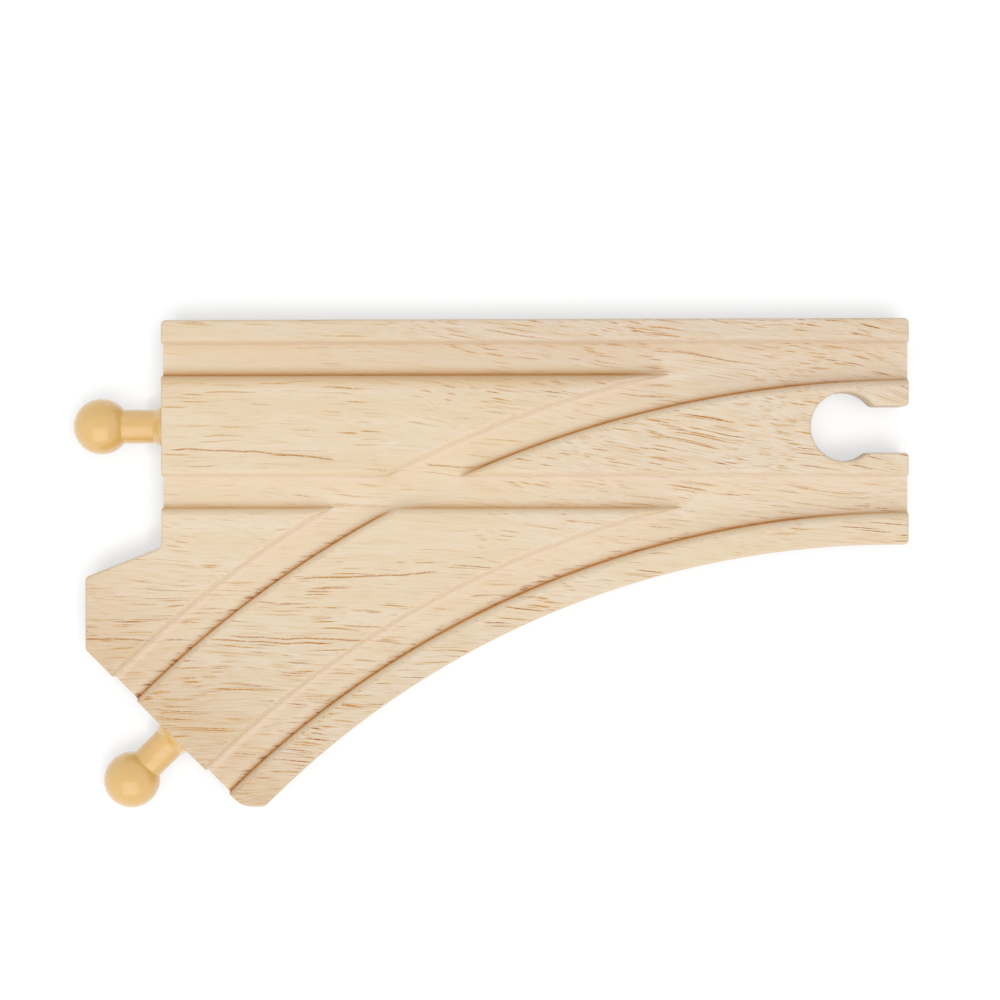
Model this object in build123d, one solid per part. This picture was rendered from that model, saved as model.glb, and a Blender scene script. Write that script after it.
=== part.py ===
"""Wooden toy-railway turnout: one grooved hardwood board with two push-in ball connectors.

Millimetres, +Z up. The origin is on the underside, under the middle of the straight road: X runs along
that road towards the socket end, and the curved road leaves towards -Y and the connector end.
"""
import os
from math import cos, degrees, radians, sin, sqrt, tan

from build123d import *

# Board
straight_length = 144.0  # straight road, end face to end face
board_thickness = 12.0
half_width = 20.5  # straight road's centreline to the straight long edge
arris_radius = 0.5  # easing of every long top and bottom edge
end_corner_radius = 1.0  # corners of the end faces, seen from above

# Curved road
curve_radius = 202.7  # centreline of the curved road
curve_angle = 45.0
curve_shift = 0.97  # how far the curved road lies beside the straight one at the socket end
end_trim = 0.65  # the routed curve overruns both sawn ends by this much
concave_socket_width = 22.0  # curved road's centreline to the concave edge, at the socket end
concave_branch_width = 22.7  # the same at the branch end
concave_tightening = 10.55  # the concave edge's radius is this much under one that keeps to the curved road
tip_cut = 2.28  # depth of the branch's sharp tip that the plank's own edge leaves off
tip_outer_radius = 5.0  # rounding where the plank's edge meets the branch end
tip_inner_radius = 2.0  # rounding where it meets the concave edge

# Heel: the web of wood between the straight end and the branch end
heel_side = 23.46  # straight road's centreline to the inner corner of the heel
heel_fall = 5.8  # how far the heel's slanting shoulder drops
heel_margin = 23.45  # curved road's centreline to the heel's corner, along the branch end
heel_corner_radius = 1.2

# Wheel grooves
groove_depth = 3.0
groove_floor = 6.0  # flat width of the floor
straight_pitch = 25.64  # centre to centre of the straight road's grooves
curve_pitch = 25.51  # centre to centre of the curved road's grooves
wall_draft = 8.0  # lean of the groove walls, degrees
shoulder_radius = 1.4  # round-over between wall and top face
shoulder_break = 12.0  # angle at which the round-over meets the top face, degrees
cut_overrun = 5.0  # cutters run this far past whatever they cut

# Keyhole socket, right through the board
socket_radius = 6.65
socket_inset = 12.05  # socket end face to the centre of the round well
socket_shift = -0.3  # well centre beside the straight road's centreline
neck_slot_width = 8.9
neck_slot_shift = -0.85  # slot centre beside the straight road's centreline
neck_slot_fillet = 1.5  # where the well opens into the slot
mouth_radius = 0.8  # corners of the slot's mouth

# Ball connectors
ball_radius = 5.5
ball_reach = 12.6  # end face to the centre of the ball
neck_radius = 3.35
ball_neck_fillet = 0.5
flange_radius = 4.3
flange_thickness = 0.8
flange_round = 0.25
flare_length = 1.3  # cone between the flange and the neck
spigot_length = 12.0
spigot_radius = 2.6  # over the barbs
spigot_core_radius = 2.25
spigot_lead = 1.2  # tapered nose
barb_count = 4
barb_pitch = 2.0
spigot_clearance = 0.02  # radial, barbs to hole
hole_tip_gap = 1.0  # empty depth beyond the spigot's nose
branch_connector_shift = 0.45  # branch connector beside its road's centreline, towards the concave edge

axis_height = board_thickness / 2
end_x = straight_length / 2
curve_center = Vector(end_x + end_trim, -curve_shift - curve_radius)
branch_sin, branch_cos = sin(radians(curve_angle)), cos(radians(curve_angle))
branch_out = Vector(-branch_cos, -branch_sin)  # along the branch, leaving the board
branch_across = Vector(-branch_sin, branch_cos)  # from the curve's centre outwards
branch_end = curve_center + branch_across * curve_radius - branch_out * end_trim
concave_radius = curve_radius - (concave_socket_width + concave_branch_width) / 2 - concave_tightening


def rounded(face, point, radius):
    """The face with its corner nearest to the point rounded."""
    return fillet(face.vertices().sort_by_distance(point)[0], radius)


def board_outline():
    """The board seen from above, without its socket."""
    socket_top = Vector(end_x, half_width)
    left_top = Vector(-end_x, half_width)
    heel_inner = Vector(-end_x, -heel_side)
    heel_end = branch_end + branch_across * heel_margin
    heel_outer = Vector(heel_end.X, -heel_side - heel_fall)
    branch_tip = branch_end - branch_across * concave_branch_width
    socket_tip = Vector(end_x, -curve_shift - concave_socket_width)
    straight_edges = Polyline(socket_tip, socket_top, left_top, heel_inner, heel_outer, heel_end, branch_tip)
    concave_edge = RadiusArc(branch_tip, socket_tip, concave_radius)
    outline = make_face(straight_edges + concave_edge)
    tip_outer = branch_tip - Vector(tip_cut * branch_sin / branch_cos, -tip_cut)
    offcut = Rectangle(straight_length, straight_length, align=(Align.CENTER, Align.MAX))
    outline = outline - Pos(tip_outer.X, tip_outer.Y) * offcut
    for corner in (socket_top, left_top, socket_tip):
        outline = rounded(outline, corner, end_corner_radius)
    for corner in (heel_inner, heel_outer, heel_end):
        outline = rounded(outline, corner, heel_corner_radius)
    outline = rounded(outline, tip_outer, tip_outer_radius)
    tip_inner = outline.vertices().group_by(Axis.Y)[0].sort_by(Axis.X)[-1]
    return fillet(tip_inner, tip_inner_radius)


def socket_center():
    """Centre of the socket's round well."""
    return Vector(end_x - socket_inset, socket_shift)


def with_socket(outline):
    """The outline with the keyhole socket cut into the socket end."""
    center = socket_center()
    slot_length = socket_inset + cut_overrun
    slot = Pos(center.X + slot_length / 2, neck_slot_shift) * Rectangle(slot_length, neck_slot_width)
    face = outline - Pos(center.X, center.Y) * Circle(socket_radius) - slot
    for side in (1, -1):
        slot_y = neck_slot_shift + side * neck_slot_width / 2
        well_x = center.X + sqrt(socket_radius**2 - (slot_y - center.Y) ** 2)
        face = rounded(face, Vector(well_x, slot_y), neck_slot_fillet)
        face = rounded(face, Vector(end_x, slot_y), mouth_radius)
    return face


def groove_section():
    """Section of a groove cutter: local x is across the groove, local y is height above the underside."""
    half_floor = groove_floor / 2
    floor_z = board_thickness - groove_depth
    arc_z = board_thickness - shoulder_radius * cos(radians(shoulder_break))
    wall_top_z = arc_z + shoulder_radius * sin(radians(wall_draft))
    wall_top_x = half_floor + (wall_top_z - floor_z) * tan(radians(wall_draft))
    arc_x = wall_top_x + shoulder_radius * cos(radians(wall_draft))
    cutter_top = board_thickness + cut_overrun
    shoulder = CenterArc((arc_x, arc_z), shoulder_radius, 90, 90 - wall_draft)
    rim = Polyline((0, cutter_top), (arc_x, cutter_top), shoulder @ 0)
    wall = Polyline(shoulder @ 1, (half_floor, floor_z), (0, floor_z))
    half = Curve() + [rim, shoulder, wall]
    return make_face(half + mirror(half, about=Plane.YZ))


def straight_grooves():
    """Cutters for the two grooves of the straight road."""
    length = straight_length + 2 * cut_overrun
    section = Plane.YZ.offset(-length / 2) * groove_section()
    cutter = extrude(section, amount=length, dir=(1, 0, 0))
    return [Pos(0, side * straight_pitch / 2, 0) * cutter for side in (1, -1)]


def curved_grooves():
    """Cutters for the two grooves of the curved road, turned about the curve's centre."""
    cutters = []
    for side in (1, -1):
        groove_radius = curve_radius + side * curve_pitch / 2
        overrun_angle = degrees(cut_overrun / groove_radius)
        section = Pos(0, groove_radius, 0) * (Plane.YZ * groove_section())
        swept = revolve(section, axis=Axis.Z, revolution_arc=curve_angle + 2 * overrun_angle)
        cutters.append(Pos(curve_center.X, curve_center.Y) * Rot(0, 0, -overrun_angle) * swept)
    return cutters


def connector_seats():
    """Where each connector sits: on an end face, with local X pointing out of the board."""
    straight = Location((-end_x, 0, axis_height), (0, 0, 180))
    point = branch_end - branch_across * branch_connector_shift
    branch = Location((point.X, point.Y, axis_height), (0, 0, 180 + curve_angle))
    return {"straight_connector": straight, "branch_connector": branch}


def connector_hole():
    """Blind hole for one spigot, in the connector's own frame."""
    depth = spigot_length + hole_tip_gap
    hole = Cylinder(spigot_radius + spigot_clearance, depth + cut_overrun, rotation=(0, 90, 0))
    return Pos((cut_overrun - depth) / 2, 0, 0) * hole


def track_board():
    """The board: outline, eased edges, grooves and connector holes."""
    board = extrude(with_socket(board_outline()), amount=board_thickness)
    faces = board.faces().sort_by(Axis.Z)
    board = fillet(faces[0].edges() + faces[-1].edges(), arris_radius)
    for cutter in straight_grooves() + curved_grooves():
        board = board - cutter
    for seat in connector_seats().values():
        board = board - seat * connector_hole()
    return board


def barbed_spigot():
    """Points along the spigot's outline, from its nose to the flange: ramps rise towards the ball end."""
    nose_x = -spigot_length
    lead_x = nose_x + spigot_lead
    points = [(nose_x, 0), (nose_x, spigot_core_radius - spigot_lead / 2), (lead_x, spigot_core_radius)]
    for index in range(barb_count):
        ramp_end_x = lead_x + (index + 1) * barb_pitch
        points += [(ramp_end_x, spigot_radius), (ramp_end_x, spigot_core_radius)]
    return points + [(0, spigot_core_radius)]


def connector():
    """One moulded connector in its own frame: X runs out of the board, the flange sits on x = 0."""
    flare_x = flange_thickness + flare_length
    neck_end_x = ball_reach - sqrt(ball_radius**2 - neck_radius**2)
    body = [
        (0, flange_radius),
        (flange_thickness, flange_radius),
        (flare_x, neck_radius),
        (neck_end_x, neck_radius),
    ]
    side = Polyline(*barbed_spigot(), *body)
    ball = ThreePointArc(body[-1], (ball_reach, ball_radius), (ball_reach + ball_radius, 0))
    axis_line = Line(ball @ 1, side @ 0)
    section = make_face(Curve() + [side, ball, axis_line])
    section = rounded(section, Vector(neck_end_x, neck_radius), ball_neck_fillet)
    section = rounded(section, Vector(flange_thickness, flange_radius), flange_round)
    return revolve(section, axis=Axis.X)


def build():
    """Every node of the turnout, by name."""
    nodes = {"track_board": track_board()}
    for name, seat in connector_seats().items():
        nodes[name] = seat * connector()
    return nodes


os.makedirs("parts", exist_ok=True)
for node_name, shape in build().items():
    export_step(shape, f"parts/{node_name}.step")
    print(node_name, len(shape.solids()), "solid", round(shape.volume, 1), "mm3", shape.bounding_box())
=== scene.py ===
"""Looks of the wooden toy-railway turnout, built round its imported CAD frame. Metres, +Z up."""
from math import atan2, cos, degrees, hypot, pi, radians, sin, sqrt, tan

import bmesh
import bpy
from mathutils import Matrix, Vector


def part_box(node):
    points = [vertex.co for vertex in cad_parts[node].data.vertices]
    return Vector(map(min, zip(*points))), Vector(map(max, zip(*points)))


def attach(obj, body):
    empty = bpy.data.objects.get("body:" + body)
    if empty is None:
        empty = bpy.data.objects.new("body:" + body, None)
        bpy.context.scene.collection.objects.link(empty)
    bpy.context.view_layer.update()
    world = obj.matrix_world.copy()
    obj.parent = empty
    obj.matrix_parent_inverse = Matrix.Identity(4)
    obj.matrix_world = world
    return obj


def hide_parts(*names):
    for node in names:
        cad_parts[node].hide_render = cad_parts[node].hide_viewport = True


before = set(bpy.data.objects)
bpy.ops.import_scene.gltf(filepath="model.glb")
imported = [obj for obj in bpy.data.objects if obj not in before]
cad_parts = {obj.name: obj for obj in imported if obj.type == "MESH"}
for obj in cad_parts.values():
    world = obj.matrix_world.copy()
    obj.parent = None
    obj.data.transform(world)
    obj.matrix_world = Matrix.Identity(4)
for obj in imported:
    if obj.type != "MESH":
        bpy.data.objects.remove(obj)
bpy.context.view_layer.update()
mm = 0.001
scene = bpy.context.scene

# The turnout board. One length of pale rubberwood, sawn to outline, its edges eased, then routed along both
# roads with the same wheel-groove cutter, and bored for its own connectors. The next piece's ball drops into
# a keyhole socket that is cut right through it.

board_low, board_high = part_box("track_board")
thickness = board_high.z - board_low.z
end_x = board_high.x
half_width = board_high.y
arris = 0.6 * mm
arris_steps = 6
end_corner_radius = 1.0 * mm

# Curved road
branch_turn = radians(45)
branch_across = (-sin(branch_turn), cos(branch_turn))  # over the branch road, away from the curve's centre
branch_out = (-cos(branch_turn), -sin(branch_turn))
curve_radius = 202.7 * mm
curve_shift = 0.97 * mm  # how far the curved road lies beside the straight one at the socket end
end_trim = 0.65 * mm  # the routed curve overruns both sawn ends by this much
curve_center = (end_x + end_trim, -curve_shift - curve_radius)
concave_radius = 169.8 * mm
concave_socket_width = 22.0 * mm  # curved road's middle to the concave edge, at the socket end
concave_branch_width = 22.7 * mm  # the same at the branch end
tip_cut = 2.28 * mm  # what the plank's own edge leaves off the branch's sharp tip
tip_outer_radius = 5.0 * mm
tip_inner_radius = 2.0 * mm

# Heel, between the straight end and the branch end
heel_side = 23.46 * mm  # straight road's middle to the heel's inner corner
heel_fall = 5.8 * mm
heel_margin = 23.45 * mm  # branch road's middle to the heel's corner
heel_corner_radius = 1.2 * mm

# Keyhole socket
socket_center = (end_x - 12.05 * mm, -0.3 * mm)
socket_radius = 6.65 * mm
slot_low, slot_high = -5.3 * mm, 3.6 * mm  # walls of the neck slot
throat_radius = 1.5 * mm
mouth_radius = 0.8 * mm

# Wheel grooves and bores
groove_depth = 3.0 * mm
groove_floor = 6.0 * mm
straight_pitch = 25.64 * mm
curve_pitch = 25.51 * mm
wall_draft = radians(8)
shoulder_radius = 1.4 * mm
shoulder_break = radians(12)
cut_overrun = 5.0 * mm
bore_radius = 2.62 * mm
bore_depth = 13.0 * mm


def moved(point, way, distance):
    """A point moved along a direction."""
    return point[0] + way[0] * distance, point[1] + way[1] * distance


def leg(slant, other):
    """The third side of a right triangle."""
    return sqrt(slant**2 - other**2)


def direction(start, end):
    """The angle from one point to another, in degrees."""
    return degrees(atan2(end[1] - start[1], end[0] - start[0]))


def arc(center, radius, start, end, step=6.0):
    """Points along an arc, angles in degrees."""
    count = max(2, round(abs(end - start) / step))
    angles = [radians(start + (end - start) * i / count) for i in range(count + 1)]
    return [(center[0] + radius * cos(a), center[1] + radius * sin(a)) for a in angles]


def round_corner(before, corner, after, radius):
    """The arc that rounds off one corner between two straight edges."""
    to_before = (before[0] - corner[0], before[1] - corner[1])
    to_after = (after[0] - corner[0], after[1] - corner[1])
    turn = atan2(to_before[0] * to_after[1] - to_before[1] * to_after[0],
                 to_before[0] * to_after[0] + to_before[1] * to_after[1])
    reach = radius / abs(sin(turn / 2))
    half = atan2(to_before[1], to_before[0]) + turn / 2
    center = (corner[0] + reach * cos(half), corner[1] + reach * sin(half))
    sweep = 180 - abs(degrees(turn))
    middle = degrees(half) + 180
    side = 1 if turn < 0 else -1
    return arc(center, radius, middle - side * sweep / 2, middle + side * sweep / 2)


def straight_edges(branch_end, tip_y):
    """The outline's straight stretch, from the socket end round the heel to the branch's tip."""
    heel_end = moved(branch_end, branch_across, heel_margin)
    tip_x = moved(branch_end, branch_across, -concave_branch_width)[0] - tip_cut
    corners = [(end_x, slot_high), (end_x, half_width), (-end_x, half_width), (-end_x, -heel_side),
               (heel_end[0], -heel_side - heel_fall), heel_end, (tip_x, tip_y), (0, tip_y)]
    radii = [end_corner_radius] * 2 + [heel_corner_radius] * 3 + [tip_outer_radius]
    points = []
    for index, radius in enumerate(radii, 1):
        points += round_corner(corners[index - 1], corners[index], corners[index + 1], radius)
    return points


def keyhole():
    """The outline's way into the socket and out again, from the lower corner of the slot's mouth."""
    reach = socket_radius + throat_radius
    low_y, high_y = slot_low - throat_radius, slot_high + throat_radius
    low = (socket_center[0] + leg(reach, low_y - socket_center[1]), low_y)
    high = (socket_center[0] + leg(reach, high_y - socket_center[1]), high_y)
    points = round_corner((end_x, -1), (end_x, slot_low), (0, slot_low), mouth_radius)
    points += arc(low, throat_radius, 90, direction(low, socket_center))
    points += arc(socket_center, socket_radius, direction(socket_center, low),
                  direction(socket_center, high) - 360, 3.0)[1:-1]
    points += arc(high, throat_radius, direction(high, socket_center), -90)
    return points + round_corner((0, slot_high), (end_x, slot_high), (end_x, 1), mouth_radius)


def board_outline():
    """The board seen from above, counter-clockwise, with its keyhole socket."""
    branch_end = moved(moved(curve_center, branch_across, curve_radius), branch_out, -end_trim)
    branch_tip = moved(branch_end, branch_across, -concave_branch_width)
    socket_tip = (end_x, -curve_shift - concave_socket_width)
    chord = hypot(socket_tip[0] - branch_tip[0], socket_tip[1] - branch_tip[1])
    middle = tuple((socket_tip[i] + branch_tip[i]) / 2 for i in (0, 1))
    drop = leg(concave_radius, chord / 2)
    along = tuple((socket_tip[i] - branch_tip[i]) / chord for i in (0, 1))
    hollow = (middle[0] + along[1] * drop, middle[1] - along[0] * drop)
    tip_y = branch_tip[1] + tip_cut
    tip_middle = tip_y + tip_inner_radius
    tip = (hollow[0] - leg(concave_radius + tip_inner_radius, tip_middle - hollow[1]), tip_middle)
    horn_x = end_x - end_corner_radius
    horn = (horn_x, hollow[1] + leg(concave_radius + end_corner_radius, horn_x - hollow[0]))
    points = straight_edges(branch_end, tip_y)
    points += arc(tip, tip_inner_radius, -90, direction(tip, hollow))
    points += arc(hollow, concave_radius, direction(hollow, tip), direction(hollow, horn), 0.5)[1:-1]
    points += arc(horn, end_corner_radius, direction(horn, hollow), 0)
    return points + keyhole()


def inset(points, distance):
    """The outline moved inwards by a distance."""
    shrunk = []
    for index, (px, py) in enumerate(points):
        before, after = points[index - 1], points[(index + 1) % len(points)]
        first = atan2(py - before[1], px - before[0])
        second = atan2(after[1] - py, after[0] - px)
        half = atan2(sin(second - first), cos(second - first)) / 2
        inward = first + half + pi / 2
        reach = distance / cos(half)
        shrunk.append((px + reach * cos(inward), py + reach * sin(inward)))
    return shrunk


def board_blank():
    """The sawn board with eased top and bottom edges, before it is routed and bored."""
    outline = board_outline()
    levels = []
    for step in range(arris_steps + 1):
        angle = radians(90 * step / arris_steps)
        levels.append((arris * (1 - sin(angle)), board_low.z + arris * (1 - cos(angle))))
    levels += [(shrink, thickness - height) for shrink, height in reversed(levels)]
    work = bmesh.new()
    rings = []
    for shrink, height in levels:
        rings.append([work.verts.new((px, py, height)) for px, py in inset(outline, shrink)])
    for lower, upper in zip(rings, rings[1:]):
        for index in range(len(outline)):
            work.faces.new((lower[index - 1], lower[index], upper[index], upper[index - 1]))
    work.faces.new(list(reversed(rings[0])))
    work.faces.new(rings[-1])
    mesh = bpy.data.meshes.new("blank")
    work.to_mesh(mesh)
    work.free()
    return mesh


def groove_section():
    """The router bit's outline as a closed ring: x across the groove, y up from the underside."""
    floor_half, floor_y = groove_floor / 2, thickness - groove_depth
    shoulder_y = thickness - shoulder_radius * cos(shoulder_break)
    wall_top = shoulder_y + shoulder_radius * sin(wall_draft)
    shoulder_x = floor_half + (wall_top - floor_y) * tan(wall_draft) + shoulder_radius * cos(wall_draft)
    shoulder = arc((shoulder_x, shoulder_y), shoulder_radius, 180 - degrees(wall_draft), 90, 5.0)
    half = [(floor_half, floor_y)] + shoulder + [(shoulder_x, thickness + cut_overrun)]
    ring = list(reversed(half)) + [(-px, py) for px, py in half]
    mesh = bpy.data.meshes.new("groove_section")
    edges = [(i, (i + 1) % len(ring)) for i in range(len(ring))]
    mesh.from_pydata([(px, -py, 0) for px, py in ring], edges, [])
    return mesh


def node(tree, kind, inputs=None, **settings):
    """A node with its settings made, and its inputs linked from sockets or given values."""
    made = tree.nodes.new(kind)
    for name, value in settings.items():
        setattr(made, name, value)
    for key, value in (inputs or {}).items():
        if isinstance(value, bpy.types.NodeSocket):
            tree.links.new(value, made.inputs[key])
        else:
            made.inputs[key].default_value = value
    return made


def calc(tree, operation, *values, clamp=False):
    """The result of a Math node on sockets or numbers."""
    made = node(tree, "ShaderNodeMath", dict(enumerate(values)), operation=operation, use_clamp=clamp)
    return made.outputs[0]


def times(tree, product, *factors):
    """Masks or numbers multiplied together."""
    for factor in factors:
        product = calc(tree, "MULTIPLY", product, factor)
    return product


def combine(tree, x, y, z):
    """A vector from three sockets or numbers."""
    return node(tree, "ShaderNodeCombineXYZ", {"X": x, "Y": y, "Z": z}).outputs[0]


def new_group(kind, name, inputs, outputs):
    """An empty node group with named sockets: its tree, its inputs' outlets and its output node."""
    tree = bpy.data.node_groups.new(name, kind)
    for label, socket_kind in inputs.items():
        tree.interface.new_socket(label, in_out="INPUT", socket_type="NodeSocket" + socket_kind)
    for label, socket_kind in outputs.items():
        tree.interface.new_socket(label, in_out="OUTPUT", socket_type="NodeSocket" + socket_kind)
    return tree, tree.nodes.new("NodeGroupInput").outputs, tree.nodes.new("NodeGroupOutput")


def road_cutters():
    """Sweeps the router bit along both wheel paths of each road, and takes that out of the blank."""
    inputs = {"Blank": "Geometry", "Section": "Object", "Half Length": "Float", "Straight Pitch": "Float",
              "Curve Pitch": "Float", "Curve Radius": "Float", "Overrun": "Float", "Bore Radius": "Float",
              "Curve Center": "Vector", "Straight Seat": "Vector", "Branch Seat": "Vector",
              "Material": "Material"}
    tree, given, result = new_group("GeometryNodeTree", "route_the_roads", inputs, {"Board": "Geometry"})
    shape = node(tree, "GeometryNodeObjectInfo", {"Object": given["Section"]}).outputs["Geometry"]
    bit = node(tree, "GeometryNodeMeshToCurve", {"Mesh": shape}).outputs[0]
    overrun_x = calc(tree, "ADD", given["Half Length"], given["Overrun"])
    paths = []
    for side in (-0.5, 0.5):
        offset = times(tree, given["Straight Pitch"], side)
        start = combine(tree, times(tree, overrun_x, -1.0), offset, 0.0)
        end = combine(tree, overrun_x, offset, 0.0)
        paths.append(node(tree, "GeometryNodeCurvePrimitiveLine", {"Start": start, "End": end}).outputs[0])
        radius = calc(tree, "MULTIPLY_ADD", given["Curve Pitch"], side, given["Curve Radius"])
        spare = calc(tree, "DIVIDE", given["Overrun"], radius)
        bend = node(tree, "GeometryNodeCurveArc", {"Resolution": 181, "Radius": radius}, mode="RADIUS")
        tree.links.new(calc(tree, "SUBTRACT", radians(90), spare), bend.inputs["Start Angle"])
        tree.links.new(calc(tree, "MULTIPLY_ADD", spare, 2.0, branch_turn), bend.inputs["Sweep Angle"])
        inputs = {"Geometry": bend.outputs[0], "Translation": given["Curve Center"]}
        paths.append(node(tree, "GeometryNodeTransform", inputs).outputs[0])
    routed = node(tree, "GeometryNodeMeshBoolean", {"Mesh 1": given["Blank"]},
                  operation="DIFFERENCE", solver="MANIFOLD")
    for path in paths:
        level = node(tree, "GeometryNodeSetCurveNormal", {"Curve": path}, mode="Z_UP").outputs[0]
        inputs = {"Curve": level, "Profile Curve": bit, "Fill Caps": True}
        swept = node(tree, "GeometryNodeCurveToMesh", inputs)
        tree.links.new(swept.outputs[0], routed.inputs["Mesh 2"])
    for seat, turn in (("Straight Seat", 0.0), ("Branch Seat", branch_turn)):
        inputs = {"Vertices": 64, "Radius": given["Bore Radius"], "Depth": 2 * bore_depth}
        bore = node(tree, "GeometryNodeMeshCylinder", inputs).outputs["Mesh"]
        inputs = {"Geometry": bore, "Translation": given[seat], "Rotation": (0, radians(90), turn)}
        tree.links.new(node(tree, "GeometryNodeTransform", inputs).outputs[0], routed.inputs["Mesh 2"])
    inputs = {"Geometry": routed.outputs[0], "Distance": 0.002 * mm}
    clean = node(tree, "GeometryNodeMergeByDistance", inputs).outputs[0]
    angle = node(tree, "GeometryNodeInputMeshEdgeAngle").outputs["Unsigned Angle"]
    soft = node(tree, "FunctionNodeCompare", {0: angle, 1: radians(20)}, operation="LESS_THAN").outputs[0]
    inputs = {"Geometry": clean, "Shade Smooth": soft}
    shaded = node(tree, "GeometryNodeSetShadeSmooth", inputs, domain="EDGE").outputs[0]
    real = node(tree, "GeometryNodeRealizeInstances", {"Geometry": shaded}).outputs[0]
    inputs = {"Geometry": real, "Material": given["Material"]}
    dressed = node(tree, "GeometryNodeSetMaterial", inputs).outputs[0]
    tree.links.new(dressed, result.inputs["Board"])
    return tree


# The board's wood: straw-coloured, sealed and close-grained. The foot of each groove's wall on the side
# towards the curve's centre carries a dark line: router scorch where it cut against the grain, deepened with
# painted shade, since that wall faces away from the softbox.


def srgb(red, green, blue):
    """A linear colour from its 0 to 255 display values."""
    def linear(c):
        c /= 255
        return c / 12.92 if c <= 0.04045 else ((c + 0.055) / 1.055) ** 2.4
    return (linear(red), linear(green), linear(blue), 1.0)


straw = srgb(231, 212, 181)
light_straw = srgb(235, 218, 194)
far_straw = srgb(227, 209, 185)  # along the straight long edge
open_straw = srgb(231, 216, 198)  # where the pores are open
growth_tan = srgb(228, 206, 172)
fibre_tan = srgb(217, 188, 144)
# The first of the next three tints is painted shade, a fall-off of light towards the branch end.
branch_painted_falloff = srgb(251, 251, 250)
tip_tint = srgb(249, 241, 232)
far_tint = srgb(250, 249, 251)
fine_amber = srgb(194, 136, 46)
coarse_brown = srgb(170, 102, 8)
streak_brown = srgb(176, 108, 24)
# In the grooves, the fresh-cut tone also paints light beside the inner foot, the next two colours paint
# light on the outer wall and its foot, the next three paint shade in the outer crease, on the inner wall
# (with an amber scorch tone) and over its shoulder, halo and core are scorch with painted shade, and the
# torn brown is real.
fresh_cut_and_painted_light = srgb(249, 234, 206)
painted_light_wall = srgb(253, 245, 228)
painted_light_floor = srgb(236, 222, 205)
crease_painted_shade = srgb(249, 244, 238)
inner_wall_scorch_and_shade = srgb(246, 232, 210)
shoulder_painted_shade = srgb(241, 224, 196)
halo_scorch_and_shade = srgb(235, 201, 143)
core_scorch_and_shade = srgb(224, 192, 142)
torn_brown = srgb(158, 78, 22)


def ramp(tree, value, low, high, out_low=0.0, out_high=1.0):
    """A smooth step of a value from low to high."""
    inputs = {"Value": value, "From Min": low, "From Max": high, "To Min": out_low, "To Max": out_high}
    return node(tree, "ShaderNodeMapRange", inputs, interpolation_type="SMOOTHSTEP").outputs["Result"]


def noise(tree, vector, along, over, detail=2.0):
    """Noise from 0 to 1 on a vector in mm. Along and over are its feature sizes on X and across it."""
    inputs = {0: vector, 1: (1 / along, 1 / over, 1 / over)}
    drawn = node(tree, "ShaderNodeVectorMath", inputs, operation="MULTIPLY").outputs[0]
    inputs = {"Vector": drawn, "Scale": 1.0, "Detail": detail, "Roughness": 0.5}
    return node(tree, "ShaderNodeTexNoise", inputs).outputs["Fac"]


def blend_color(tree, factor, under, over, mode="MIX"):
    """One colour laid over another."""
    inputs = {0: factor, 6: under, 7: over}
    return node(tree, "ShaderNodeMix", inputs, data_type="RGBA", blend_type=mode).outputs[2]


def object_place(tree):
    """Object coordinates in millimetres."""
    inputs = {0: node(tree, "ShaderNodeTexCoord").outputs["Object"], "Scale": 1 / mm}
    return node(tree, "ShaderNodeVectorMath", inputs, operation="SCALE").outputs[0]


def vessel_group():
    """Vessels: thin tubes along the grain, cut into dashes by a sanded face and into dots by an end face."""
    inputs = {"Grain": "Vector", "Spacing": "Float", "Reach": "Float", "Radius": "Float", "Seed": "Float"}
    outputs = {"Dash": "Float", "Chance": "Float"}
    tree, given, result = new_group("ShaderNodeTree", "vessels", inputs, outputs)
    across = calc(tree, "DIVIDE", 1.0, given["Spacing"])
    size = combine(tree, calc(tree, "DIVIDE", 1.0, given["Reach"]), across, across)
    cells = node(tree, "ShaderNodeVectorMath", {0: given["Grain"], 1: size}, operation="MULTIPLY").outputs[0]
    shifted = node(tree, "ShaderNodeVectorMath", {0: cells, 1: given["Seed"]}, operation="ADD").outputs[0]
    tubes = node(tree, "ShaderNodeTexVoronoi", {"Vector": shifted, "Scale": 1.0})
    chance = node(tree, "ShaderNodeSeparateColor", {"Color": tubes.outputs["Color"]})
    girth = calc(tree, "MULTIPLY_ADD", chance.outputs["Red"], 0.8, 0.5)
    edge = times(tree, calc(tree, "DIVIDE", given["Radius"], given["Spacing"]), girth)
    inside = calc(tree, "SUBTRACT", 1.0, calc(tree, "DIVIDE", tubes.outputs["Distance"], edge), clamp=True)
    tree.links.new(calc(tree, "MULTIPLY", inside, 2.0, clamp=True), result.inputs["Dash"])
    tree.links.new(chance.outputs["Green"], result.inputs["Chance"])
    return tree


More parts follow.
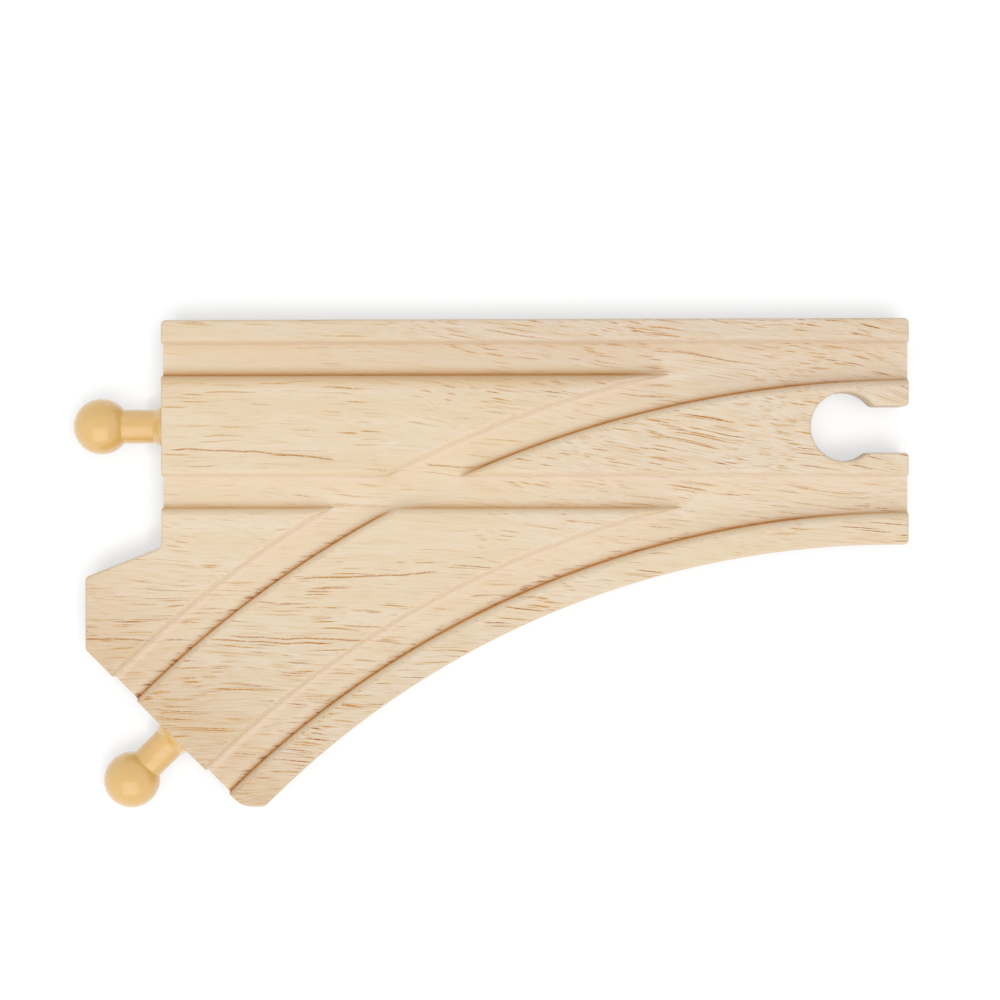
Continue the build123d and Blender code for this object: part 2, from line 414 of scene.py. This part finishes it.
def streak_group():
    """One long open vessel near the face, from a start to an end point, thinning out at both ends."""
    inputs = {"Place": "Vector", "Wander": "Float", "Start X": "Float", "Start Y": "Float",
              "End X": "Float", "End Y": "Float"}
    tree, given, result = new_group("ShaderNodeTree", "streak", inputs, {"Streak": "Float"})
    spot = node(tree, "ShaderNodeSeparateXYZ", {0: given["Place"]}).outputs
    run = calc(tree, "SUBTRACT", given["End X"], given["Start X"])
    along = calc(tree, "DIVIDE", calc(tree, "SUBTRACT", spot[0], given["Start X"]), run)
    rise = calc(tree, "SUBTRACT", given["End Y"], given["Start Y"])
    line = calc(tree, "ADD", calc(tree, "MULTIPLY_ADD", along, rise, given["Start Y"]), given["Wander"])
    away = calc(tree, "ABSOLUTE", calc(tree, "SUBTRACT", spot[1], line))
    from_middle = calc(tree, "ABSOLUTE", calc(tree, "SUBTRACT", along, 0.5))
    near_face = ramp(tree, spot[2], 8.0, 8.8)
    shape = times(tree, ramp(tree, away, 0.24, 0.04), ramp(tree, from_middle, 0.5, 0.4), near_face)
    tree.links.new(shape, result.inputs["Streak"])
    return tree


def placed(tree, group, **inputs):
    """A group in a material, its inputs named as in the group but with underscores for spaces."""
    given = {name.replace("_", " "): value for name, value in inputs.items()}
    return node(tree, "ShaderNodeGroup", given, node_tree=group).outputs


wood = bpy.data.materials.new("rubberwood")
wood.use_nodes = True
tree = wood.node_tree
shader = tree.nodes["Principled BSDF"]
shader.inputs["Specular IOR Level"].default_value = 0.3
place = object_place(tree)
spot = node(tree, "ShaderNodeSeparateXYZ", {0: place}).outputs
x, y, z = spot[0], spot[1], spot[2]

# Grain: the fibres run along X, fall off to one side towards the socket end, and dip through the face there,
# so the dashes on that part are slanted and shorter. Across and depth are the two ways over the fibres.
turn = calc(tree, "ADD", x, 20.0)
bend = calc(tree, "SQRT", calc(tree, "MULTIPLY_ADD", turn, turn, 400.0))
swing = times(tree, 0.5, calc(tree, "ADD", turn, bend), ramp(tree, y, -45.0, 2.0, 0.12, 1.0))
wander = calc(tree, "MULTIPLY_ADD", noise(tree, place, 42.0, 15.0), 5.0, -2.5)
quiver = calc(tree, "MULTIPLY_ADD", noise(tree, place, 6.0, 3.0), 0.5, -0.25)
fall = calc(tree, "MULTIPLY_ADD", swing, 0.17, times(tree, x, 0.015))
across = calc(tree, "ADD", calc(tree, "ADD", y, fall), calc(tree, "ADD", wander, quiver))
dip = calc(tree, "MULTIPLY_ADD", noise(tree, place, 30.0, 11.0), 2.2, times(tree, swing, 0.022))
depth = calc(tree, "ADD", calc(tree, "ADD", z, dip), times(tree, x, 0.035))
grain = combine(tree, x, across, depth)

# Where the pores are open: towards the socket end, on the branch and, less so, along the far edge. The heel
# and the branch's tip lie at the lowest values of corner.
corner = calc(tree, "ADD", x, y)
open_part = times(tree, ramp(tree, x, -14.0, 18.0, 0.0, 1.15), ramp(tree, y, -30.0, -12.0))
branch_part = calc(tree, "MULTIPLY_ADD", ramp(tree, corner, -85.0, -112.0), 0.4, 0.6)
branch_part = times(tree, ramp(tree, y, -20.0, -32.0), branch_part)
branch_part = calc(tree, "ADD", branch_part, ramp(tree, y, -46.0, -56.0, 0.0, 0.8))
far_part = times(tree, ramp(tree, y, 2.0, 10.0), ramp(tree, x, -70.0, 20.0))
pores = calc(tree, "MAXIMUM", calc(tree, "MAXIMUM", open_part, branch_part), times(tree, far_part, 0.8))

# Tone: cloudy patches of two straws, soft growth bands and fine fibres.
color = blend_color(tree, ramp(tree, noise(tree, place, 26.0, 9.0), 0.3, 0.7), straw, light_straw)
color = blend_color(tree, ramp(tree, y, 4.0, 19.0, 0.0, 0.8), color, far_straw)
color = blend_color(tree, times(tree, pores, 0.75), color, open_straw)
growth = ramp(tree, noise(tree, grain, 90.0, 2.6, 3.0), 0.35, 0.75, 0.0, 0.6)
color = blend_color(tree, growth, color, growth_tan)
fibre = ramp(tree, noise(tree, grain, 6.0, 0.2, 3.0), 0.35, 0.8)
fibre = times(tree, calc(tree, "MULTIPLY_ADD", pores, 0.35, 0.45), fibre)
color = blend_color(tree, fibre, color, fibre_tan)
# Painted shade: the light is made to fall off slightly towards the branch end.
color = blend_color(tree, ramp(tree, y, -30.0, -46.0), color, branch_painted_falloff, "MULTIPLY")
color = blend_color(tree, ramp(tree, corner, -98.0, -129.0), color, tip_tint, "MULTIPLY")
color = blend_color(tree, far_part, color, far_tint, "MULTIPLY")

# Where a point lies over the grooves. An offset is its distance over the nearer groove of a road from that
# groove's middle, positive away from the curve's centre.
top_z = thickness / mm
floor_z = (thickness - groove_depth) / mm
floor_edge = groove_floor / 2 / mm
straight_offset = calc(tree, "MULTIPLY_ADD", calc(tree, "SIGN", y), -straight_pitch / 2 / mm, y)
from_center = combine(tree, calc(tree, "ADD", x, -curve_center[0] / mm),
                      calc(tree, "ADD", y, -curve_center[1] / mm), 0.0)
out_from_center = node(tree, "ShaderNodeVectorMath", {0: from_center}, operation="LENGTH").outputs["Value"]
beside = calc(tree, "SUBTRACT", out_from_center, curve_radius / mm)
curve_offset = calc(tree, "MULTIPLY_ADD", calc(tree, "SIGN", beside), -curve_pitch / 2 / mm, beside)
nearest = calc(tree, "MINIMUM", calc(tree, "ABSOLUTE", straight_offset),
               calc(tree, "ABSOLUTE", curve_offset))
above = ramp(tree, z, floor_z - 0.3, floor_z - 0.1)
on_floor = times(tree, above, ramp(tree, z, floor_z + 0.4, floor_z + 0.1),
                 ramp(tree, nearest, floor_edge + 0.3, floor_edge + 0.1))
low_wall = times(tree, ramp(tree, z, floor_z, floor_z + 0.15), ramp(tree, z, top_z - 0.3, floor_z + 0.6))
on_side = times(tree, ramp(tree, z, 0.02, 0.2), ramp(tree, z, top_z - 0.02, top_z - 0.2),
                calc(tree, "SUBTRACT", 1.0, on_floor))

# Vessels: a fine amber layer everywhere, a coarser brown one denser in patches, and a few long open ones
# given by their ends (start x, start y, end x, end y). All of them are faint on the sides and walls.
vessel_tree = vessel_group()
streak_tree = streak_group()
long_vessels = (
    (-70.6, -4.4, -49.0, -5.2), (-50.5, -5.1, -38.0, -6.6), (-21.0, -7.6, -11.0, -8.0),
    (-46.5, -29.8, -17.5, -28.3), (-60.0, -40.7, -24.5, -42.0), (-63.0, -41.4, -38.0, -42.4),
    (-87.5, -41.2, -73.0, -41.6), (-12.8, -32.6, 1.0, -33.0),
)
ragged = ramp(tree, noise(tree, place, 0.9, 0.25), 0.3, 0.55, 0.35, 1.0)
faint = calc(tree, "MULTIPLY_ADD", on_side, -0.75, 1.0)
patches = calc(tree, "SUBTRACT", noise(tree, place, 16.0, 6.0), 0.5)
crowd = calc(tree, "MULTIPLY_ADD", pores, 0.5, patches)
fine, chance = placed(tree, vessel_tree, Grain=grain, Spacing=0.4, Reach=30.0, Radius=0.15, Seed=3.0)
fine = times(tree, fine, ramp(tree, calc(tree, "ADD", chance, crowd), 0.3, 1.3, 0.18, 1.0), faint)
coarse, chance = placed(tree, vessel_tree, Grain=grain, Spacing=0.56, Reach=36.0, Radius=0.148, Seed=17.0)
coarse = times(tree, coarse, ramp(tree, calc(tree, "ADD", chance, crowd), 0.84, 1.2), faint,
               ramp(tree, pores, 0.0, 0.3, 0.28, 1.0))
color = blend_color(tree, times(tree, fine, ragged), color, fine_amber)
color = blend_color(tree, times(tree, coarse, ragged), color, coarse_brown)
waver = calc(tree, "MULTIPLY_ADD", noise(tree, place, 9.0, 40.0), 1.6, -0.8)
for start_x, start_y, stop_x, stop_y in long_vessels:
    streak = placed(tree, streak_tree, Place=place, Wander=waver, Start_X=start_x, Start_Y=start_y,
                    End_X=stop_x, End_Y=stop_y)[0]
    color = blend_color(tree, times(tree, streak, ragged, faint, 0.8), color, streak_brown)

# Grooves: along the foot of each inner wall the router browned the wood and tore a few fibres, mostly on the
# branch, and that dark line is deepened with painted shade, since the inner wall faces away from the
# softbox. The groove floor is a little paler than the sanded top. Painted light makes the outer wall, the
# floor at its foot and the floor beside the inner foot paler, and painted shade darkens the outer crease,
# the inner wall and its shoulder. The straight road's two grooves differ, and far runs from 0 on the one
# beside the branch to 1 on the other.
core_here = calc(tree, "MULTIPLY_ADD", ragged, 0.4, 0.6)
torn = times(tree, ramp(tree, noise(tree, place, 3.4, 0.5), 0.54, 0.64),
             ramp(tree, y, -14.0, -30.0, 0.15, 1.0))
far = ramp(tree, y, -13.0, 10.0)


def by_groove(near_value, far_value):
    """A value for the straight road that changes from its near groove to its far one."""
    return ramp(tree, far, 0.0, 1.0, near_value, far_value)


def scorch_and_painted_shading(color, offset, other, halo_width, halo_strength, core_strength, wall_light_paint, floor_light_paint,
             shoulder_shade_strength):
    """The colour with one road's grooves marked with scorch and torn fibres, painted light and painted
    shade; other is the other road's offset.
    """
    apart = calc(tree, "ABSOLUTE", offset)
    clear = calc(tree, "ABSOLUTE", other)
    beyond = ramp(tree, clear, floor_edge - 0.1, floor_edge + 0.4)
    fading = ramp(tree, clear, floor_edge - 0.1, floor_edge + 2.5)
    wall = times(tree, low_wall, ramp(tree, apart, 4.6, 4.4), ramp(tree, clear, 3.2, 4.8))
    # Painted light: the outer wall, which faces the softbox, and the floor at its foot are made paler.
    outer_wall = times(tree, wall, calc(tree, "GREATER_THAN", offset, 0.0))
    color = blend_color(tree, times(tree, outer_wall, wall_light_paint), color, painted_light_wall)
    outer_foot = times(tree, ramp(tree, offset, 1.4, 2.7), on_floor, beyond)
    color = blend_color(tree, times(tree, outer_foot, floor_light_paint), color, painted_light_floor)
    # Painted shade: a faint darker line in the crease at the outer wall's foot.
    crease = calc(tree, "ABSOLUTE", calc(tree, "SUBTRACT", offset, floor_edge + 0.1))
    crease = times(tree, ramp(tree, crease, 0.3, 0.1), beyond, above)
    color = blend_color(tree, crease, color, crease_painted_shade, "MULTIPLY")
    from_foot = calc(tree, "ADD", offset, floor_edge)
    away = calc(tree, "ABSOLUTE", from_foot)
    # Painted light: the floor within a few millimetres of the inner foot is lifted paler against the shade
    # there, less where the other road's groove cuts the wall away.
    painted_lift = times(tree, ramp(tree, away, 3.6, 0.4), on_floor, ramp(tree, clear, 3.0, 8.5), 0.5)
    color = blend_color(tree, painted_lift, color, fresh_cut_and_painted_light)
    # Painted shade with an amber scorch tone on the inner wall, which faces away from the softbox.
    inner_wall = times(tree, wall, calc(tree, "LESS_THAN", offset, 0.0))
    color = blend_color(tree, inner_wall, color, inner_wall_scorch_and_shade, "MULTIPLY")
    # Painted shade: a soft darkening over the inner wall's shoulder and the land beside it.
    haze = ramp(tree, calc(tree, "ABSOLUTE", calc(tree, "ADD", from_foot, 0.9)), 2.3, 0.2)
    haze = times(tree, haze, above, fading, shoulder_shade_strength)
    color = blend_color(tree, haze, color, shoulder_painted_shade, "MULTIPLY")
    # Halo and core at the inner foot: amber router scorch together with painted shade from the wall.
    at_foot = times(tree, fading, above, ramp(tree, z, floor_z + 1.2, floor_z + 0.3))
    halo = calc(tree, "SUBTRACT", 1.0, calc(tree, "DIVIDE", away, halo_width), clamp=True)
    halo = times(tree, calc(tree, "POWER", halo, 1.8), halo_strength, at_foot)
    color = blend_color(tree, halo, color, halo_scorch_and_shade, "MULTIPLY")
    core = times(tree, ramp(tree, away, 0.45, 0.05), core_here, core_strength, at_foot)
    color = blend_color(tree, core, color, core_scorch_and_shade, "MULTIPLY")
    tear = times(tree, ramp(tree, from_foot, 1.7, 0.2), at_foot, torn, ramp(tree, apart, 4.8, 4.4, 0.0, 0.8))
    return blend_color(tree, tear, color, torn_brown)


color = blend_color(tree, times(tree, on_floor, 0.15), color, fresh_cut_and_painted_light)
color = scorch_and_painted_shading(color, straight_offset, curve_offset, halo_width=by_groove(1.5, 2.3),
                 halo_strength=by_groove(0.6, 0.88), core_strength=by_groove(0.0, 0.5),
                 wall_light_paint=by_groove(0.95, 0.5), floor_light_paint=by_groove(0.6, 0.0),
                 shoulder_shade_strength=times(tree, far, 0.7))
color = scorch_and_painted_shading(color, curve_offset, straight_offset, halo_width=1.3, halo_strength=0.95, core_strength=0.8,
                 wall_light_paint=0.95, floor_light_paint=0.6, shoulder_shade_strength=0.0)
tree.links.new(color, shader.inputs["Base Color"])

# Surface: fibres a little rough, vessels sunk in.
grit = noise(tree, grain, 2.0, 0.15, 3.0)
tree.links.new(ramp(tree, grit, 0.2, 0.8, 0.55, 0.68), shader.inputs["Roughness"])
relief = calc(tree, "SUBTRACT", times(tree, grit, 0.35), calc(tree, "ADD", fine, coarse))
bump = node(tree, "ShaderNodeBump", {"Height": relief, "Strength": 0.5, "Distance": 0.03 * mm})
tree.links.new(bump.outputs[0], shader.inputs["Normal"])

# The connectors' seats: one in the middle of the straight end, the other worked back from the branch's ball.
ball_reach = 12.6 * mm  # end face to the centre of the ball
ball_low, ball_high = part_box("branch_connector")
ball_radius = (ball_high.z - ball_low.z) / 2
branch_ball = (ball_low.x + ball_radius, ball_low.y + ball_radius)
branch_seat = (*moved(branch_ball, branch_out, -ball_reach), thickness / 2)
straight_seat = (-end_x, 0.0, thickness / 2)

section_object = bpy.data.objects.new("groove_section", groove_section())
scene.collection.objects.link(section_object)
board = bpy.data.objects.new("board", board_blank())
scene.collection.objects.link(board)
routing = board.modifiers.new("routing", "NODES")
routing.node_group = road_cutters()
sizes = {
    "Section": section_object, "Half Length": end_x, "Straight Pitch": straight_pitch,
    "Curve Pitch": curve_pitch, "Curve Radius": curve_radius, "Overrun": cut_overrun,
    "Bore Radius": bore_radius, "Curve Center": (*curve_center, 0.0), "Straight Seat": straight_seat,
    "Branch Seat": branch_seat, "Material": wood,
}
for socket in routing.node_group.interface.items_tree:
    if socket.name in sizes:
        routing[socket.identifier] = sizes[socket.name]
flat = board.modifiers.new("flat_faces", "WEIGHTED_NORMAL")
flat.keep_sharp = True
flat.weight = 100
depsgraph = bpy.context.evaluated_depsgraph_get()
routed_mesh = bpy.data.meshes.new_from_object(board.evaluated_get(depsgraph), depsgraph=depsgraph)
board.modifiers.clear()
board.data = routed_mesh
routed_mesh.name = "board"
bpy.data.objects.remove(section_object)
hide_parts("track_board")
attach(board, "root")

# The two ball connectors. Each is one moulding in glossy caramel plastic: a ball on a neck, a flange seated
# on the end face, and a barbed spigot pushed into the bore. Its mould halves meet in a fine parting line.

neck_radius = 3.35 * mm
neck_blend = 0.35 * mm  # rounding between the neck and the ball
flange_radius = 4.3 * mm
flange_thickness = 0.8 * mm
flange_round = 0.25 * mm
flare_end = 2.1 * mm
spigot_length = 12.0 * mm
spigot_lead = 1.2 * mm
core_radius = 2.25 * mm
barb_radius = 2.6 * mm
barb_count = 4
barb_pitch = 2.0 * mm
ridge_width = 0.09 * mm  # half the width of the parting line's ridge
ridge_height = 0.018 * mm
parted_from = 2.4 * mm  # the parting line starts past the flare
half_step = 0.02 * mm  # one mould half stands this much under the other


def connector_profile():
    """Points (x, r) from the spigot's nose to the ball's pole. X runs out of the board, from the seat."""
    nose = -spigot_length
    profile = [(nose, 0.0), (nose, core_radius - spigot_lead / 2), (nose + spigot_lead, core_radius)]
    for index in range(1, barb_count + 1):
        crest = nose + spigot_lead + index * barb_pitch
        profile += [(crest - 0.08 * mm, barb_radius - 0.01 * mm), (crest, barb_radius - 0.05 * mm),
                    (crest + 0.02 * mm, core_radius)]
    profile += [(0.0, core_radius), (0.0, flange_radius)]
    rim = (flange_thickness - flange_round, flange_radius - flange_round)
    profile += arc(rim, flange_round, 90, 36, 9)
    slope = (neck_radius - flange_radius) / (flare_end - flange_thickness)
    profile += [(flare_end - 0.25 * mm, neck_radius - slope * 0.25 * mm),
                (flare_end - 0.08 * mm, neck_radius + 0.035 * mm),
                (flare_end + 0.1 * mm, neck_radius), (flare_end + 0.3 * mm, neck_radius)]
    nook_r = neck_radius + neck_blend
    nook_x = ball_reach - leg(ball_radius + neck_blend, nook_r)
    nook_end = degrees(atan2(-nook_r, ball_reach - nook_x))
    profile += [(nook_x - 0.3 * mm, neck_radius)]
    profile += arc((nook_x, nook_r), neck_blend, -90, nook_end, 8)
    ball_start = degrees(atan2(nook_r, nook_x - ball_reach))
    profile += arc((ball_reach, 0.0), ball_radius, ball_start, 0, 2.5)[1:-1]
    return profile + [(ball_reach + ball_radius, 0.0)]


def connector_mesh(name, seat, outward, parting):
    """The profile turned about the axis; parting is the angle of the parting plane from upright."""
    first_line, second_line = 90 + parting, 270 + parting
    close_turns = [side * spread for spread in (0.0, 0.25, 0.6, 1.1, 1.8) for side in (-1, 1)]
    turns = {round(line + turn, 3) % 360 for line in (first_line, second_line) for turn in close_turns}
    turns = sorted(turns | {3.75 * i for i in range(96)})
    work = bmesh.new()
    across = (-outward[1], outward[0])
    rings = []
    for along, reach in connector_profile():
        ring = []
        for turn in turns:
            apart = min(abs((turn - line + 180) % 360 - 180) for line in (first_line, second_line))
            ridge = max(0.0, 1 - radians(apart) * reach / ridge_width) * ridge_height
            lag = half_step if first_line < turn < second_line else 0.0
            relief = ridge - lag if along > parted_from else 0.0
            r = min(reach + relief, ball_radius) if reach > 0.05 * mm else 0.0
            side, up = r * cos(radians(turn)), r * sin(radians(turn))
            ring.append(work.verts.new((seat[0] + outward[0] * along + across[0] * side,
                                        seat[1] + outward[1] * along + across[1] * side, seat[2] + up)))
            if r == 0.0:
                break
        rings.append(ring)
    for first, second in zip(rings, rings[1:]):
        for index in range(len(turns)):
            a, b = first[index % len(first)], first[(index + 1) % len(first)]
            c, d = second[(index + 1) % len(second)], second[index % len(second)]
            work.faces.new(list(dict.fromkeys((a, b, c, d))))
    bmesh.ops.recalc_face_normals(work, faces=work.faces)
    for face in work.faces:
        face.smooth = True
    for edge in work.edges:
        edge.smooth = edge.calc_face_angle(0.0) < radians(38)
    mesh = bpy.data.meshes.new(name)
    work.to_mesh(mesh)
    work.free()
    return mesh


plastic = bpy.data.materials.new("caramel_plastic")
plastic.use_nodes = True
tree = plastic.node_tree
shader = tree.nodes["Principled BSDF"]
place = object_place(tree)
flow = ramp(tree, noise(tree, place, 5.0, 3.0, 3.0), 0.3, 0.7)
tint = blend_color(tree, flow, srgb(224, 180, 98), srgb(227, 185, 107))
tree.links.new(tint, shader.inputs["Base Color"])
polish = noise(tree, place, 3.5, 3.5, 1.0)
tree.links.new(ramp(tree, polish, 0.2, 0.8, 0.26, 0.34), shader.inputs["Roughness"])
shader.inputs["Specular IOR Level"].default_value = 0.5
shader.inputs["Coat Weight"].default_value = 1.0
shader.inputs["Coat Roughness"].default_value = 0.08
shader.inputs["Coat IOR"].default_value = 1.7
shader.inputs["Subsurface Weight"].default_value = 0.35
shader.inputs["Subsurface Radius"].default_value = (1.0, 0.55, 0.25)
shader.inputs["Subsurface Scale"].default_value = 1.5 * mm
dimple = node(tree, "ShaderNodeBump", {"Height": polish, "Strength": 0.05, "Distance": 0.004 * mm})
tree.links.new(dimple.outputs[0], shader.inputs["Normal"])

for name, seat, outward, parting in (("straight_connector", straight_seat, (-1.0, 0.0), 0.0),
                                     ("branch_connector", branch_seat, branch_out, 78.0)):
    mesh = connector_mesh(name, seat, outward, parting)
    piece = bpy.data.objects.new(name.replace("connector", "moulding"), mesh)
    scene.collection.objects.link(piece)
    mesh.materials.append(plastic)
    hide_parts(name)
    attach(piece, "root")

# The set: a white floor whose contact shadow is part real and part painted, a large softbox leaning in from
# the branch side, a white sky that is brightest overhead, and the camera straight above.


def seen_directly(tree):
    """1 where the set itself is seen: by the camera, in a reflection or through something clear."""
    path = node(tree, "ShaderNodeLightPath").outputs
    shown = calc(tree, "MAXIMUM", path["Is Glossy Ray"], path["Is Transmission Ray"])
    return calc(tree, "MAXIMUM", path["Is Camera Ray"], shown)


floor_mesh = bpy.data.meshes.new("floor")
floor_mesh.from_pydata([(-3, -3, 0), (3, -3, 0), (3, 3, 0), (-3, 3, 0)], [], [(0, 1, 2, 3)])
floor = bpy.data.objects.new("floor", floor_mesh)
scene.collection.objects.link(floor)
floor.location.z = -0.05 * mm
paper = bpy.data.materials.new("white_paper")
paper.use_nodes = True
tree = paper.node_tree
tree.nodes.clear()
lit = node(tree, "ShaderNodeBsdfDiffuse", {"Color": (0.8, 0.8, 0.8, 1)})
# Painted shadow: for camera rays the floor's glow dims where an ambient-occlusion hemisphere, tilted towards
# the softbox and +X, meets the board, so a shadow lies along its +Y and -X sides.
tilt = combine(tree, 0.55, -0.5, 1.0)
nook = node(tree, "ShaderNodeAmbientOcclusion", {"Distance": 5.5 * mm, "Normal": tilt}, samples=8)
shade = ramp(tree, nook.outputs["AO"], 0.3, 1.0, 0.6, 0.88)
seen = node(tree, "ShaderNodeBsdfDiffuse", {"Color": (0.16, 0.16, 0.16, 1)})
glow = node(tree, "ShaderNodeEmission", {"Color": (1, 1, 1, 1), "Strength": shade})
both = node(tree, "ShaderNodeAddShader", {0: seen.outputs[0], 1: glow.outputs[0]})
inputs = {0: seen_directly(tree), 1: lit.outputs[0], 2: both.outputs[0]}
pick = node(tree, "ShaderNodeMixShader", inputs)
node(tree, "ShaderNodeOutputMaterial", {"Surface": pick.outputs[0]})
floor_mesh.materials.append(paper)

world = bpy.data.worlds.new("sky")
scene.world = world
world.use_nodes = True
tree = world.node_tree
background = tree.nodes["Background"]
background.inputs["Color"].default_value = (1, 1, 1, 1)
view = node(tree, "ShaderNodeTexCoord").outputs["Generated"]
heading = node(tree, "ShaderNodeSeparateXYZ", {0: view}).outputs
overhead = ramp(tree, heading[2], 0.1, 0.85, 0.6, 0.95)
branch_side = times(tree, ramp(tree, heading[1], 0.0, -0.9), ramp(tree, heading[2], 0.8, 0.2))
overhead = calc(tree, "MULTIPLY_ADD", branch_side, 0.25, overhead)
behind = calc(tree, "MAXIMUM", overhead, seen_directly(tree))
tree.links.new(behind, background.inputs["Strength"])

softbox = bpy.data.lights.new("softbox", "AREA")
softbox.shape = "RECTANGLE"
softbox.size, softbox.size_y = 1.1, 1.0
softbox.energy = 2.53
lamp = bpy.data.objects.new("softbox", softbox)
scene.collection.objects.link(lamp)
lean = radians(36)
lamp.location = (0.0, -sin(lean), cos(lean))
lamp.rotation_euler = (lean, 0, 0)

camera_data = bpy.data.cameras.new("camera")
camera_data.lens = 92.1385
camera_data.sensor_width = 36
camera_data.shift_x, camera_data.shift_y = -0.02, -0.01
camera = bpy.data.objects.new("camera", camera_data)
scene.collection.objects.link(camera)
camera.location = (14.604 * mm, -7.739 * mm, 503.994 * mm)
camera.rotation_euler = (radians(-0.5461), radians(1.9902), radians(-0.0579))
scene.camera = camera
camera_data.clip_start = 0.01
scene.view_settings.view_transform = "Standard"
